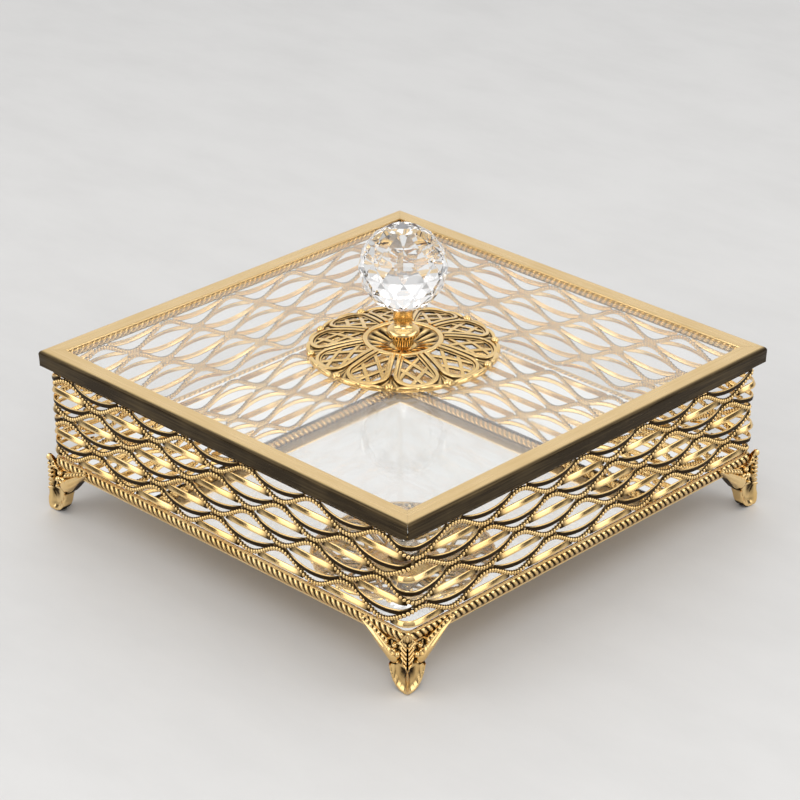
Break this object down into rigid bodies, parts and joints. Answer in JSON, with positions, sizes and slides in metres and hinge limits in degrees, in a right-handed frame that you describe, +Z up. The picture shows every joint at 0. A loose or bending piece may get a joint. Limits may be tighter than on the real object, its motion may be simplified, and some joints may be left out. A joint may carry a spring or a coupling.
{
  "type": "box with glass lid",
  "caption": "Square low box of pierced wavy gold strip on cast leaf feet, with a mirror floor and a lift-off glass lid with a filigree rosette and a cut crystal ball knob.",
  "frame": {"origin": "middle of the footprint, on the surface that the feet stand on", "axes": "+Z up, -Y out of the front wall, +X out of the right wall"},
  "size_m": [0.18, 0.18, 0.1081],
  "materials": {
    "polished_gold": "polished gold plating",
    "satin_gold": "satin gold plating",
    "floor_mirror": "silvered glass",
    "clear_glass": "clear float glass",
    "cut_crystal": "cut and polished",
    "clear_bond": "clear adhesive",
    "soft_ring": "clear soft plastic",
    "plated_steel": "yellow plated"
  },
  "bodies": {
    "box": {"gallery_front": "polished_gold", "gallery_right": "polished_gold", "gallery_back": "polished_gold", "gallery_left": "polished_gold", "lower_rope_front": "polished_gold", "lower_rope_right": "polished_gold", "lower_rope_back": "polished_gold", "lower_rope_left": "polished_gold", "upper_rope_front": "polished_gold", "upper_rope_right": "polished_gold", "upper_rope_back": "polished_gold", "upper_rope_left": "polished_gold", "foot_front": "polished_gold", "foot_right": "polished_gold", "foot_back": "polished_gold", "foot_left": "polished_gold", "base_plate": "satin_gold", "mirror_floor": "floor_mirror"},
    "lid": {"lid_rail_front": "satin_gold", "lid_rail_right": "satin_gold", "lid_rail_back": "satin_gold", "lid_rail_left": "satin_gold", "glazing_bond": "clear_bond", "lid_glass": "clear_glass", "rosette": "polished_gold", "rosette_gasket": "soft_ring", "knob_stem": "polished_gold", "crystal_ball": "cut_crystal", "knob_stud": "plated_steel", "knob_washer": "plated_steel", "knob_nut": "plated_steel"}
  },
  "joints": [
    {"name": "lid_lift", "type": "slide", "parent": "box", "child": "lid", "axis": [0, 0, 1], "range_m": [0, 0.12]}
  ]
}
